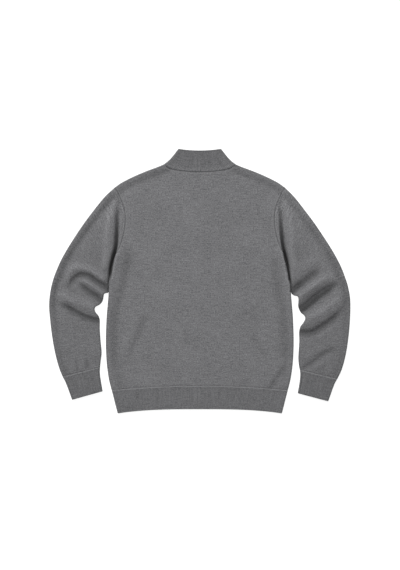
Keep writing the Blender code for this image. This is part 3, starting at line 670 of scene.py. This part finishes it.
def sleeve_shell(side):
    """Sleeve of one side. It starts on the armhole's curve and lets go of it as (1 - length /
    ARM_REACH)^2. The creases meet both seams level."""
    sign, outer, inner, table, _, creases, _ = SIDES[side]
    rows = np.array(table)
    rows[BY_BODY, 2] += SIDE_CLEARANCE
    x, y, share, knit, at, left = ring_plan(line_through(rows), SLEEVE_STEP)
    arm_y = ARMHOLE[-1][0] + share[0] * (ARMHOLE[0][0] - ARMHOLE[-1][0])
    let_go = ramp(at, ARM_REACH, 0) ** 2
    x = x + let_go * (np.interp(arm_y, *armhole_line.T) + SEAM_GAP - x[0])
    y = y + let_go * (arm_y - y[0])
    ease = eased(ramp(at, 0, EASE_IN) * ramp(left, 0, EASE_OUT))
    full = ramp(at, 0, FULL_AFTER)
    low, high = SLEEVE_GROOVE[side]
    groove = low + (high - low) * ramp(y, FOREARM_Y, ELBOW_Y)
    wave = edge_wave(against_line(x, y, outer)[0], groove, y)
    creased = ease * (crease_heights(x, y, creases) + wave)
    # Painted shade: the troughs and the groove darker, a painted highlight on swells and on the rim
    # beside the valley, and the sleeve darker away from the armhole.
    valley, rim = valley_bells(x, y, sign)
    painted_shade = painted_crease_shade(creased + SLEEVE_GROOVE_SHADE * ease * wave) + rim
    painted_shade -= (SLEEVE_SHADE + FOREARM_SHADE * ramp(y, UPPER_ARM_Y, ELBOW_Y)) * full
    over, under, fold = lay(
        sign * x, y, [outer, inner], BODY_HEIGHT + (SLEEVE_HEIGHT - BODY_HEIGHT) * full,
        creased + ease * unevenness(sign * x, y, JERSEY_UNEVEN))
    notes = {"seam": seam_note(x, y, ["armhole"]), "link": left, "fold": fold, "relief": painted_shade,
             "valley": valley}
    return add_tube(f"sleeve_{side}_cloth", over, under, JERSEY_WALL, knit, notes, side == "left")


# %% A cuff
def cuff_shell(side):
    """Cuff of one side, from the cuff seam to its open end, and the points of its upper face."""
    sign, outer, inner, _, table, _, _ = SIDES[side]
    line = line_through(table)
    x, y, share, knit, at, left = ring_plan(line, CUFF_STEP)
    knit[..., 0] = (share - 0.5) * np.mean(np.hypot(*(line[:, :2] - line[:, 2:]).T))
    y[0] -= SEAM_GAP
    uneven = unevenness(sign * x, y, RIB_UNEVEN)
    over, under, fold = lay(sign * x, y, [outer, inner], SLEEVE_HEIGHT, uneven, RIB_WALL)
    notes = {"seam": FAR_AWAY, "link": at, "fold": fold, "relief": CUFF_SHADE, "free": left}
    return add_tube(f"cuff_{side}_cloth", over, under, RIB_WALL, knit, notes, side == "left"), over


cuff_tops = {}
for side in SIDES:
    cloth["sleeve_" + side] = sleeve_shell(side)
    cloth["cuff_" + side], cuff_tops[side] = cuff_shell(side)

# %% [markdown]
# ## Hem rib and collar
#
# Both are bands round the body, open at centre front: from there under one side, over the back, and
# under the other. Their wales draw together with the band, so the UV map takes each column's share of
# the width.

# %% A band
BAND_STEP, COLUMN_AT_SIDE = 3, 0.98
# The groove where the free edge is turned: depth, distance from the edge, width.
TURN_DEPTH, TURN_AT, TURN_WIDTH = 0.5, 3.4, 0.8
# Brightness offsets of the hem rib and the collar, on the scale of the painted shade: the hem lighter,
# the collar darker, most at its middle.
HEM_SHADE, COLLAR_SHADE = 0.4, 0.8


def band_layer(fold, edge, near, far, upper, wall, step):
    """One layer of half a band. Rows go from near(x) at the seam to far(x) at the free edge, and x is
    the column's share of the half width there."""
    length = measured(edge)
    way, along = abs(far(0) - near(0)), length / length[-1]
    down = spaced(length[-1], BAND_STEP)[:, None] / length[-1]
    edge_y, reach = (np.interp(down, along, edge[:, k]) for k in (0, 1))
    rolled = 1 - ROLL * ARC / reach
    tail = 0.5 * step / reach[0, 0] if upper else 0
    inside = np.linspace(COLUMN_AT_SIDE, tail, round(reach[0, 0] / step))
    share = np.hstack([rolled, rolled[:, -1:] * inside])
    x = share * reach
    y = (1 - down) * near(share * reach[0]) + down * far(share * reach[-1])
    y += (edge_y - y[:, :1]) * share ** 4
    slope = (near(x[0]) - near(x[0] - 0.1)) / 0.1
    off = SEAM_GAP * np.sign(far(0) - near(0)) / np.hypot(slope, 1)
    x[0] -= off * slope
    y[0] += off
    knit = np.stack([share * reach.mean(), way * down + 0 * share], axis=-1)
    groove = TURN_DEPTH * bell(way * (1 - down) - TURN_AT, TURN_WIDTH)
    relief = unevenness(x, y, RIB_UNEVEN) - groove if upper else 0 * x
    over, under, fold_way = lay(x, y, [fold], BODY_HEIGHT + (wall - JERSEY_WALL), relief, wall)
    notes = {"seam": way * down, "link": FAR_AWAY, "relief": COLLAR_SHADE * (share ** 2 - 1)}
    if wall == RIB_WALL:
        notes = {"seam": FAR_AWAY, "link": way * down, "relief": HEM_SHADE}
    notes.update(fold=fold_way, free=way * (1 - down))
    notes = {k: np.broadcast_to(v, x.shape) for k, v in notes.items()}
    return over if upper else under, knit, notes


def strip(upper, lower, turn=1):
    """The lower layer, the upper one, and both again turned over the centre line."""
    return np.hstack([lower[:, ::-1], upper, upper[:, ::-1] * turn, lower * turn])


def band_shell(name, fold, edge, near, far, wall, step, flipped=False):
    """The whole band as one open strip. near and far each hold the back's and the front's."""
    over, knit, notes = band_layer(fold, edge, near[0], far[0], True, wall, step)
    under, under_knit, under_notes = band_layer(fold, edge, near[1], far[1], False, wall, 2 * step)
    under[:, -1, 0] = FRONT_GAP / 2
    turn = np.array([-1, 1, 1, -1, 1, 1])
    notes = {k: strip(v, under_notes[k]) for k, v in notes.items()}
    return add_shell(name, strip(over, under, turn), wall, strip(knit, under_knit, turn[:2]), notes,
                     flipped=flipped), over


# %% The hem rib and the collar
hem_ends = [bowed(HEM_MIDDLE, HEM_CORNER, HEM_HALF, HEM_POWER)] * 2
collar_ends = [bowed(middle, COLLAR_TOP, COLLAR_HALF, 2) for middle in (COLLAR_BACK, COLLAR_FRONT)]
cloth["hem_rib"], hem_top = band_shell(
    "hem_rib_cloth", side_fold, hem_line, [hem_seam] * 2, hem_ends, RIB_WALL, step=4)
cloth["collar"], _ = band_shell("collar_cloth", collar_fold, collar_line, neck_seams, collar_ends,
                                COLLAR_WALL, step=3, flipped=True)

# %% [markdown]
# ## Linking stitches
#
# A linking machine joins the pieces, and leaves a row of small chain stitches just inside each seam.
# A picture of stitches would go flat at a low angle, so each one is a small oval ring of yarn,
# repeated along a line that is taken from the cloth's own grid.

# %% A chain of stitches along a line
YARN, PITCH = 0.42, 2.3
# A ring's half length and width in pitches, the rise of its end, and its points both ways round.
HALF_LONG, HALF_WIDE, TIP = 0.62, 0.36, 0.16
ROUND_RING, ROUND_YARN = 10, 5


def unit(ways):
    """Each direction divided by its length."""
    return ways / np.linalg.norm(ways, axis=1)[:, None]


def chain_shell(name, lines, lift=0.2):
    """Oval rings of yarn, a pitch apart along the lines. A point of a ring is centre + along * a
    cos(p) + across * b sin(p), moved out by the yarn's radius at the angle q round it. Each ring is
    tipped, so that it rises out of the one before."""
    p, q = np.meshgrid(*(np.arange(n) * 2 * np.pi / n for n in (ROUND_RING, ROUND_YARN)), indexing="ij")
    long, wide = (PITCH * half + YARN * np.cos(q) for half in (HALF_LONG, HALF_WIDE))
    ring = np.stack([long * np.cos(p), wide * np.sin(p), YARN * np.sin(q) + TIP * np.cos(p)], axis=-1)
    points = []
    for line in lines:
        length = measured(line)
        at = np.arange(PITCH / 2, length[-1], PITCH)
        centre, ahead, behind = (
            np.stack([np.interp(at + d, length, line[:, k]) for k in range(3)], axis=1)
            for d in (0, 1, -1))
        along = unit(ahead - behind)
        across = unit(np.cross([0, 0, 1], along))
        up = np.cross(along, across)
        axes = np.stack([along, across, up], axis=1)
        points.append(np.einsum("pqk,nkj->npqj", ring, axes) + (centre + up * lift)[:, None, None])
    points = np.concatenate(points)
    number = np.arange(p.size).reshape(p.shape)
    right, far = np.roll(number, -1, axis=0), np.roll(number, -1, axis=1)
    face = np.stack([number, right, np.roll(right, -1, axis=1), far], axis=-1).reshape(-1, 4)
    faces = (face + p.size * np.arange(len(points))[:, None, None]).reshape(-1, 4)
    mesh = bpy.data.meshes.new(name)
    mesh.from_pydata((points.reshape(-1, 3) * MM).tolist(), [], faces.tolist())
    mesh.shade_smooth()
    print(f"{name}: {len(points)} stitches, {2 * len(faces)} triangles")
    return placed(name, mesh)


# %% Chains on the back and the sleeves
# Rows and columns that the chains follow, and the points left free at their ends.
RIB_ROW, NECK_ROW, ARM_COLUMN, HEM_FREE, CUFF_FREE, SHOULDER_FREE = 3, -8, 6, 4, 3, 6
top = np.abs(back_grid[-1, :, 0]) < NECK_HALF - 3
arm = back_grid[:, 0, 1] > ARMHOLE[0][0] + 3
hem_way = hem_top[RIB_ROW, HEM_FREE:, :3]
chains = {
    "hem": chain_shell("chain_hem", [np.vstack([hem_way, hem_way[::-1] * (-1, 1, 1)])]),
    "neck": chain_shell("chain_neck", [back_grid[NECK_ROW, top, :3]], -0.2),
    "armholes": chain_shell("chain_armholes", [back_grid[arm, column, :3][:-SHOULDER_FREE]
                                               for column in (ARM_COLUMN, -ARM_COLUMN - 1)], -0.25),
    "cuffs": chain_shell("chain_cuffs", [cuff_top[RIB_ROW, CUFF_FREE:-CUFF_FREE, :3]
                                         for cuff_top in cuff_tops.values()]),
}

# %% [markdown]
# ## Shader sums as Python
#
# A knit is a sum of waves, and wiring dozens of Math nodes by hand hides it. A small class wraps a
# socket, so that `1 - mask * 0.3` adds the nodes.

# %% Sockets that can be added and multiplied
class Value:
    """A shader socket that takes part in Python sums."""

    tree = None

    def __init__(self, socket):
        self.socket = socket

    @classmethod
    def node(cls, kind, settings=None, values=None, out=0):
        """One node: its settings first, then the values or links of its sockets."""
        made = cls.tree.nodes.new(kind)
        for key, setting in (settings or {}).items():
            setattr(made, key, setting)
        for key, value in (values or {}).items():
            if isinstance(value, Value):
                cls.tree.links.new(value.socket, made.inputs[key])
            else:
                made.inputs[key].default_value = value
        return cls(made.outputs[out])

    @classmethod
    def sum(cls, operation, *values):
        """A Math node on the values."""
        return cls.node("ShaderNodeMath", {"operation": operation}, dict(enumerate(values)))

    def __add__(self, other):
        return self.sum("ADD", self, other)

    def __sub__(self, other):
        return self.sum("SUBTRACT", self, other)

    def __rsub__(self, other):
        return self.sum("SUBTRACT", other, self)

    def __mul__(self, other):
        return self.sum("MULTIPLY", self, other)

    def __truediv__(self, other):
        return self.sum("DIVIDE", self, other)

    __radd__, __rmul__ = __add__, __mul__

    def __abs__(self):
        return self.sum("ABSOLUTE", self)

    def whole_part_off(self):
        """What is left without the whole number."""
        return self.sum("FRACT", self)

    def bell(self, at, width):
        """exp(-((self - at) / width)^2)"""
        off = (self - at) / width
        return self.sum("EXPONENT", off * off * -1)


def note(name):
    """A note that the cloth's mesh carries, in millimetres."""
    return Value.node("ShaderNodeAttribute", {"attribute_name": name}, out="Fac")


def wales_and_courses():
    """The place on the cloth in millimetres: across the wales, and along them."""
    place = Value.node("ShaderNodeUVMap", {"uv_map": "knit"})
    parts = Value.node("ShaderNodeSeparateXYZ", values={0: place}).socket.node.outputs
    return Value(parts["X"]) * (1 / MM), Value(parts["Y"]) * (1 / MM)


def noise(x, y, across, along, detail=2):
    """Noise from 0 to 1 whose spots are about so many millimetres across and along the wales."""
    place = Value.node("ShaderNodeCombineXYZ", values={0: x / across, 1: y / along})
    return Value.node("ShaderNodeTexNoise", {"noise_dimensions": "2D"},
                      {"Vector": place, "Scale": 1, "Detail": detail, "Roughness": 0.6}, out="Fac")


def tinted(dark, light, share):
    """Colour between dark and light."""
    return Value.node("ShaderNodeMix", {"data_type": "RGBA"}, {0: share, 6: dark, 7: light}, out=2)


def dimmed(colour, factor):
    """Colour times a number, by Vector Math."""
    return Value.node(
        "ShaderNodeVectorMath", {"operation": "SCALE"}, {"Vector": colour, "Scale": factor})


def new_material(name, constants):
    """Material with constants on its shader, whose nodes the next sums go into, and its sockets."""
    made = bpy.data.materials.new(name)
    made.use_nodes = True
    Value.tree = made.node_tree
    sockets = made.node_tree.nodes["Principled BSDF"].inputs
    for socket, constant in constants.items():
        sockets[socket].default_value = constant
    return made, sockets


def feed(sockets, values):
    """Link a value to each named socket."""
    for socket, value in values.items():
        Value.tree.links.new(value.socket, sockets[socket])


# %% [markdown]
# ## The knit
#
# Jersey shows one V for each stitch: two legs that lean apart. With a the place across a wale from
# -0.5 to 0.5, a leg is the hump 1 - (4 (|a| - 0.25))^2, and the V comes from adding SLANT |a| to the
# count of courses. The yarn is spun from dark and pale fibres, so it has short flecks along the
# courses and slow clouds.

# %% Yarn and stitches
WALE, COURSE, SLANT = 1.5, 1.15, 1.3
DARK_FIBRE, PALE_FIBRE = (0.0505, 0.0505, 0.053, 1), (0.260, 0.260, 0.2685, 1)
# Millimetres across and along the wales, strength, shift across and along, detail.
FIBRES = [(4, 2.4, 1.2, 0, 0, 2), (1.3, 0.8, 0.6, 40, 0, 2), (28, 2.2, 0.54, 80, 0, 2),
          (16, 8, 0.25, 0, 90, 2), (90, 70, 0.12, 0, 0, 1)]


def stitches(x, y, wale):
    """Height of the stitches from 0 to 1: leg hump times the roundness of each course."""
    across = abs((x / wale).whole_part_off() - 0.5)
    leg = abs(across - 0.25) * 4
    row = (y / COURSE + across * SLANT).whole_part_off() * 2 - 1
    return (1 - leg * leg) * (1 - row * row * 0.6)


def fibres(x, y):
    """Share of pale fibre from 0 to 1: half, plus strength * (noise - 0.5) for each size."""
    share = 0.5
    for across, along, strength, right, up, detail in FIBRES:
        share = share + (noise(x + right, y + up, across, along, detail) - 0.5) * strength
    return share


# %% Lines beside the seams
# Scale of the painted shade: each colour is multiplied by exp(scale * relief note), so creases, the
# sleeves and the back below the neck are darker, swells and the rim beside the valley lighter, and the
# ribs shifted in brightness. VALLEY_SHADE is how much of the colour the painted shade in the valley
# takes away.
PAINTED_SHADE_SCALE, VALLEY_SHADE = 0.095, 0.97
# Note, distance, width, change of the shade. A painted shadow line in each seam and the pale linking
# line beside it; painted shade at the folded edges, slightly paler just inside them; a painted shadow
# line beside the jersey's links to hem and cuffs, and faint darker bands further from the links; on the
# collar, paler bands above its seam; painted shade in the groove where a free edge is turned.
JERSEY_MARKS = [("seam", 0, 1.3, -0.3), ("seam", 4.4, 1.6, 0.08), ("fold", 0, 4.5, -0.17),
                ("fold", 6.5, 2.5, 0.05), ("link", 2.6, 1.3, -0.22), ("link", 8, 12, -0.025)]
RIB_MARKS = [("seam", 0.8, 1.4, -0.3), ("seam", 6, 3, 0.17), ("seam", 8, 12, 0.05),
             ("link", 1, 1.5, 0.3), ("link", 7, 5, -0.045), ("free", 3.4, 0.9, -0.1)]


def marked(shade, marks):
    """The shade * (1 + change * bell) of each mark, and * exp(scale * relief) with the scale defined
    above: the painted shade and painted highlight that the relief note carries.
    """
    for name, at, width, change in marks:
        shade = shade * (1 + note(name).bell(at, width) * change)
    return shade * Value.sum("EXPONENT", note("relief") * PAINTED_SHADE_SCALE)


# %% Jersey and rib
RIB = 3.65


def jersey_finish(x, y):
    """Stitches, darker in their hollows, partly the knit's own look and partly painted shade, and
    painted shade in the valley beside the sleeve.
    """
    knit = stitches(x, y, WALE)
    shade = marked(0.80 + knit * 0.44, JERSEY_MARKS) * (1 - note("valley") * VALLEY_SHADE)
    return fibres(x, y), shade, knit * 0.35


def rib_finish(x, y):
    """Raised and sunk wales: a wave across, with the stitches on it. The sunk wales are darker, painted
    shade in their grooves.
    """
    wave = Value.sum("COSINE", x * (2 * np.pi / RIB)) * 0.5 + 0.5
    streaks = (noise(x, y, 2.6, 50) - 0.5) * 0.4
    knit = stitches(x, y, RIB / 2)
    shade = marked((0.66 + wave * 0.28) * (0.86 + knit * 0.3), RIB_MARKS)
    return fibres(x, y) * 0.85 + 0.075 + streaks, shade, wave * 0.7 + knit * 0.25


def cloth_material(name, finish):
    """Matt wool. finish(x, y) gives its share of pale fibre, its shade and its height in mm."""
    made, sockets = new_material(
        name, {"Sheen Weight": 0.12, "Sheen Roughness": 0.55, "Specular IOR Level": 0.25})
    share, shade, height = finish(*wales_and_courses())
    bump = Value.node("ShaderNodeBump", values={"Strength": 0.7, "Distance": MM, "Height": height})
    feed(sockets, {"Base Color": dimmed(tinted(DARK_FIBRE, PALE_FIBRE, share), shade),
                   "Roughness": 0.88 - share * 0.08, "Normal": bump})
    return made


# %% Linking yarn
def linking_finish(name, dark, pale):
    """Yarn in a paler grey, with a twist in it."""
    made, sockets = new_material(name, {})
    place = Value.node("ShaderNodeTexCoord", out="Object")
    twist = Value.node("ShaderNodeTexNoise", values={"Vector": place, "Scale": 1400, "Detail": 2},
                       out="Fac")
    greys = [(grey, grey, grey * 1.03, 1) for grey in (dark, pale)]
    feed(sockets, {"Base Color": tinted(*greys, twist), "Roughness": 0.95 - twist * 0.1})
    return made


# %% Finish the pieces
jersey, rib = cloth_material("jersey_knit", jersey_finish), cloth_material("rib_knit", rib_finish)
# A paler linking yarn for the hem and cuffs, and a darker copy of it for the neck and armholes.
linking_yarn = {"open": linking_finish("linking_yarn", 0.20, 0.35),
                "darker_yarn": linking_finish("darker_linking_yarn", 0.14, 0.25)}
for node, piece in cloth.items():
    is_rib = node.startswith(("hem_rib", "collar", "cuff"))
    piece.data.materials.append(rib if is_rib else jersey)
    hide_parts(node)
    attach(piece, "root")
for place, piece in chains.items():
    piece.data.materials.append(linking_yarn["open" if place in ("hem", "cuffs") else "darker_yarn"])
    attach(piece, "root")
print("materials:", bpy.data.materials.keys())

# %% [markdown]

# %% [markdown]
# ## The table, the light and the camera
#
# A flat garment is shot from straight above, on a white table that glows a little to hide its shadow.
# A soft key light from the far left brings out the creases, one above fills them.

# %% Table
WHITE, TABLE_GREY, TABLE_GLOW, TABLE_HALF = (1, 1, 1, 1), (0.30, 0.30, 0.30, 1), 0.88, 12
corners = [(x * TABLE_HALF, y * TABLE_HALF, 0) for x, y in ((-1, -1), (1, -1), (1, 1), (-1, 1))]
floor_mesh = bpy.data.meshes.new("floor")
floor_mesh.from_pydata(corners, [], [(0, 1, 2, 3)])
floor_white, _ = new_material("table_white", {
    "Base Color": TABLE_GREY, "Roughness": 0.9, "Specular IOR Level": 0,
    "Emission Color": WHITE, "Emission Strength": TABLE_GLOW})
floor_mesh.materials.append(floor_white)
floor = placed("floor", floor_mesh)


# %% Lights
def soft_light(name, place, size, power):
    """Square light at a place, aimed at the middle of the garment."""
    lamp = bpy.data.lights.new(name, "AREA")
    lamp.size, lamp.energy = size, power
    made = placed(name, lamp)
    made.location = place
    tilt = np.arctan2(np.hypot(place[0], place[1]), place[2])
    made.rotation_euler = (0, tilt, np.arctan2(place[1], place[0]))


soft_light("key", place=(-2.3, 5.3, 6.6), size=2.4, power=760)
soft_light("top", place=(0, 0, 4.6), size=1.6, power=33)
SKY = 0.22
world = bpy.data.worlds.new("studio")
world.use_nodes = True
sky = world.node_tree.nodes["Background"].inputs
sky["Color"].default_value, sky["Strength"].default_value = WHITE, SKY
bpy.context.scene.world = world
bpy.context.scene.view_settings.view_transform = "Standard"

# %% Camera
VIEW_HEIGHT, DISTANCE, SENSOR, CENTRE = 1.6355, 4, 36, (0.0007, -0.0111)
lens = bpy.data.cameras.new("camera")
lens.lens = SENSOR * DISTANCE / VIEW_HEIGHT
camera = placed("camera", lens)
camera.location = (*CENTRE, DISTANCE + EDGE_HEIGHT / 2 * MM)
bpy.context.scene.camera = camera
print(f"lens {lens.lens:.1f} mm, {VIEW_HEIGHT} m high view")
